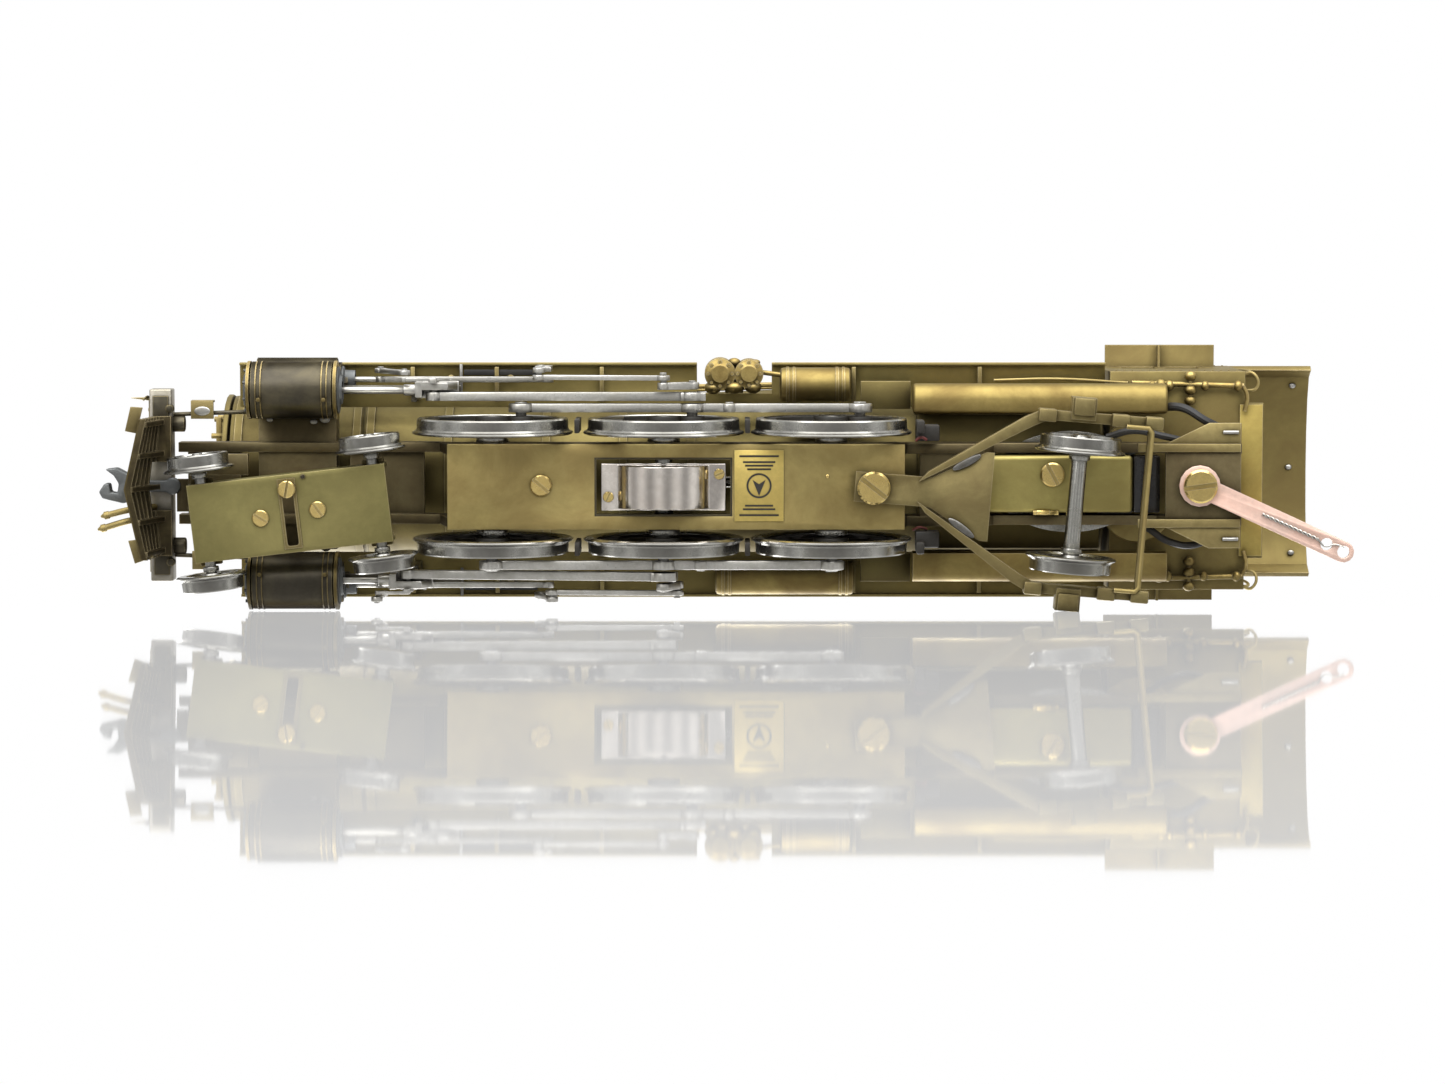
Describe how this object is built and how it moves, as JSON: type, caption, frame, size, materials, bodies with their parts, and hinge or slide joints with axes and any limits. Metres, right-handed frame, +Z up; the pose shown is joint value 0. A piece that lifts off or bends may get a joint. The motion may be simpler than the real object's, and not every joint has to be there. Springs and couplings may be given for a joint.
{
  "type": "model steam locomotive",
  "caption": "Small-scale brass model of a heavy 4-6-2 steam locomotive with spoked drivers, working rods and valve gear, swivelling trucks and a drawbar.",
  "frame": {"origin": "at rail-top height, under the centre of the bounding box", "axes": "+X to the front of the engine, +Y to its left side, +Z up; the engine stands on its wheels"},
  "size_m": [0.1758, 0.0376, 0.0522],
  "materials": {
    "aged_brass": "aged olive-brown brass, satin",
    "golden_brass": "golden brass with brown tarnish, satin",
    "bright_brass": "bright turned brass",
    "blackened_brass": "chemically blackened brass, worn on edges",
    "nickel_plate": "turned nickel plate",
    "chrome_plate": "polished plate",
    "copper_pink": "pink copper-toned strip, satin",
    "grey_casting": "grey casting, matt"
  },
  "bodies": {
    "chassis": {"main_frame": "aged_brass", "rear_frame_plate": "aged_brass", "keeper_plate": "golden_brass", "gear_cover": "chrome_plate", "motor": "golden_brass", "boiler": "aged_brass", "smokebox_front": "aged_brass", "chimney": "aged_brass", "sand_dome": "aged_brass", "steam_dome": "aged_brass", "cab": "aged_brass", "running_board_left": "aged_brass", "running_board_right": "aged_brass", "air_tank_left": "aged_brass", "air_tank_right": "aged_brass", "ash_pan_left": "aged_brass", "ash_pan_right": "aged_brass", "air_compressor": "bright_brass", "buffer_beam": "blackened_brass", "pilot": "aged_brass", "cylinder_left": "blackened_brass", "cylinder_right": "blackened_brass", "crosshead_guide_left": "nickel_plate", "crosshead_guide_right": "nickel_plate", "trailing_pivot_screw": "bright_brass", "drawbar_screw": "bright_brass"},
    "driver_wheelset_front": {"driver_axle_front": "nickel_plate", "driver_wheel_front_left": "nickel_plate", "driver_wheel_front_right": "nickel_plate"},
    "driver_wheelset_main": {"driver_axle_main": "nickel_plate", "driver_wheel_main_left": "nickel_plate", "driver_wheel_main_right": "nickel_plate", "eccentric_crank_left": "nickel_plate", "eccentric_crank_right": "nickel_plate"},
    "driver_wheelset_rear": {"driver_axle_rear": "nickel_plate", "driver_wheel_rear_left": "nickel_plate", "driver_wheel_rear_right": "nickel_plate"},
    "worm": {"worm_shaft": "nickel_plate"},
    "coupling_rod_left": {"side_rod_left": "nickel_plate"},
    "crosshead_left": {"crosshead_left": "nickel_plate"},
    "connecting_rod_left": {"main_rod_left": "nickel_plate"},
    "link_left": {"expansion_link_left": "nickel_plate"},
    "eccentric_rod_left": {"eccentric_rod_left": "nickel_plate"},
    "lever_left": {"combination_lever_left": "nickel_plate"},
    "valve_rod_left": {"valve_rod_left": "nickel_plate"},
    "coupling_rod_right": {"side_rod_right": "nickel_plate"},
    "crosshead_right": {"crosshead_right": "nickel_plate"},
    "connecting_rod_right": {"main_rod_right": "nickel_plate"},
    "link_right": {"expansion_link_right": "nickel_plate"},
    "eccentric_rod_right": {"eccentric_rod_right": "nickel_plate"},
    "lever_right": {"combination_lever_right": "nickel_plate"},
    "valve_rod_right": {"valve_rod_right": "nickel_plate"},
    "lead_pivot": {"lead_pivot_screw": "bright_brass"},
    "lead_truck": {"lead_truck_frame": "golden_brass"},
    "lead_wheels_front": {"lead_wheelset_front": "nickel_plate"},
    "lead_wheels_rear": {"lead_wheelset_rear": "nickel_plate"},
    "trailing_truck": {"trailing_truck_frame": "aged_brass"},
    "trailing_wheels": {"trailing_wheelset": "nickel_plate"},
    "drawbar": {"drawbar": "copper_pink"},
    "coupler": {"front_coupler": "grey_casting"}
  },
  "joints": [
    {"name": "driver_main_spin", "type": "hinge", "parent": "chassis", "child": "driver_wheelset_main", "pos_m": [0.0091, 0, 0.01065], "axis": [0, 1, 0], "continuous": true},
    {"name": "driver_front_spin", "type": "hinge", "parent": "chassis", "child": "driver_wheelset_front", "pos_m": [0.0331, 0, 0.01065], "axis": [0, 1, 0], "continuous": true},
    {"name": "driver_rear_spin", "type": "hinge", "parent": "chassis", "child": "driver_wheelset_rear", "pos_m": [-0.0144, 0, 0.01065], "axis": [0, 1, 0], "continuous": true},
    {"name": "side_rod_left_pin", "type": "hinge", "parent": "driver_wheelset_main", "child": "coupling_rod_left", "pos_m": [0.0051, 0.0109, 0.01065], "axis": [0, 1, 0], "continuous": true},
    {"name": "side_rod_right_pin", "type": "hinge", "parent": "driver_wheelset_main", "child": "coupling_rod_right", "pos_m": [0.0091, -0.0109, 0.00665], "axis": [0, 1, 0], "continuous": true},
    {"name": "worm_spin", "type": "hinge", "parent": "chassis", "child": "worm", "pos_m": [-0.0109, 0, 0.01855], "axis": [1, 0, 0], "continuous": true},
    {"name": "crosshead_left_slide", "type": "slide", "parent": "chassis", "child": "crosshead_left", "axis": [1, 0, 0], "range_m": [0, 0.008]},
    {"name": "main_rod_left_swing", "type": "hinge", "parent": "crosshead_left", "child": "connecting_rod_left", "pos_m": [0.0413, 0.0125, 0.01065], "axis": [0, 1, 0], "range_deg": [-6.3, 6.3]},
    {"name": "link_left_swing", "type": "hinge", "parent": "chassis", "child": "link_left", "pos_m": [0.0266, 0.01615, 0.0178], "axis": [0, 1, 0], "range_deg": [-17, 17]},
    {"name": "eccentric_rod_left_swing", "type": "hinge", "parent": "link_left", "child": "eccentric_rod_left", "pos_m": [0.0266, 0.01565, 0.0113], "axis": [0, 1, 0], "range_deg": [-6, 6]},
    {"name": "lever_left_swing", "type": "hinge", "parent": "chassis", "child": "lever_left", "pos_m": [0.0493, 0.01585, 0.0178], "axis": [0, -1, 0], "range_deg": [0, 52]},
    {"name": "valve_rod_left_slide", "type": "slide", "parent": "chassis", "child": "valve_rod_left", "axis": [1, 0, 0], "range_m": [-0.00089, 0.00089]},
    {"name": "crosshead_right_slide", "type": "slide", "parent": "chassis", "child": "crosshead_right", "axis": [1, 0, 0], "range_m": [-0.0037, 0.0042]},
    {"name": "main_rod_right_swing", "type": "hinge", "parent": "crosshead_right", "child": "connecting_rod_right", "pos_m": [0.04508, -0.0125, 0.01065], "axis": [0, 1, 0], "range_deg": [0, 12.6]},
    {"name": "link_right_swing", "type": "hinge", "parent": "chassis", "child": "link_right", "pos_m": [0.0266, -0.01615, 0.0178], "axis": [0, 1, 0], "range_deg": [-32.5, 1.5]},
    {"name": "eccentric_rod_right_swing", "type": "hinge", "parent": "link_right", "child": "eccentric_rod_right", "pos_m": [0.02486, -0.01565, 0.01154], "axis": [0, 1, 0], "range_deg": [-6, 6]},
    {"name": "lever_right_swing", "type": "hinge", "parent": "chassis", "child": "lever_right", "pos_m": [0.0493, -0.01585, 0.0178], "axis": [0, -1, 0], "range_deg": [-25, 28]},
    {"name": "valve_rod_right_slide", "type": "slide", "parent": "chassis", "child": "valve_rod_right", "axis": [1, 0, 0], "range_m": [-0.00008, 0.0017]},
    {"name": "lead_truck_yaw", "type": "hinge", "parent": "chassis", "child": "lead_pivot", "pos_m": [0.0612, 0, 0.0027], "axis": [0, 0, 1], "range_deg": [-0.5, 13.5]},
    {"name": "lead_truck_side_slide", "type": "slide", "parent": "lead_pivot", "child": "lead_truck", "axis": [0.1132, 0.9936, 0], "range_m": [0, 0.0068]},
    {"name": "lead_wheels_front_spin", "type": "hinge", "parent": "lead_truck", "child": "lead_wheels_front", "pos_m": [0.07274, -0.00474, 0.0043], "axis": [0.1132, 0.9936, 0], "continuous": true},
    {"name": "lead_wheels_rear_spin", "type": "hinge", "parent": "lead_truck", "child": "lead_wheels_rear", "pos_m": [0.04889, -0.00202, 0.0043], "axis": [0.1132, 0.9936, 0], "continuous": true},
    {"name": "trailing_truck_yaw", "type": "hinge", "parent": "chassis", "child": "trailing_truck", "pos_m": [-0.0202, 0, 0.0058], "axis": [0, 0, 1], "range_deg": [-12.65, 3.35]},
    {"name": "trailing_wheels_spin", "type": "hinge", "parent": "trailing_truck", "child": "trailing_wheels", "pos_m": [-0.04831, -0.00229, 0.0057], "axis": [-0.0811, 0.9967, 0], "continuous": true},
    {"name": "drawbar_swing", "type": "hinge", "parent": "chassis", "child": "drawbar", "pos_m": [-0.066, 0, 0.0092], "axis": [0, 0, 1], "range_deg": [-59.6, 10.4]},
    {"name": "coupler_swing", "type": "hinge", "parent": "chassis", "child": "coupler", "pos_m": [0.0777, 0, 0.0094], "axis": [0, 0, 1], "range_deg": [-12, 12]}
  ],
  "couplings": [
    {"joint": "driver_front_spin", "follows": "driver_main_spin", "ratio": 1},
    {"joint": "driver_rear_spin", "follows": "driver_main_spin", "ratio": 1},
    {"joint": "side_rod_left_pin", "follows": "driver_main_spin", "ratio": -1},
    {"joint": "side_rod_right_pin", "follows": "driver_main_spin", "ratio": -1},
    {"joint": "worm_spin", "follows": "driver_main_spin", "ratio": 28},
    {"joint": "lever_left_swing", "follows": "crosshead_left_slide", "rad_per_m": 112.6},
    {"joint": "link_left_swing", "follows": "valve_rod_left_slide", "rad_per_m": -333.33},
    {"joint": "lever_right_swing", "follows": "crosshead_right_slide", "rad_per_m": 112.6},
    {"joint": "link_right_swing", "follows": "valve_rod_right_slide", "rad_per_m": -333.33}
  ]
}
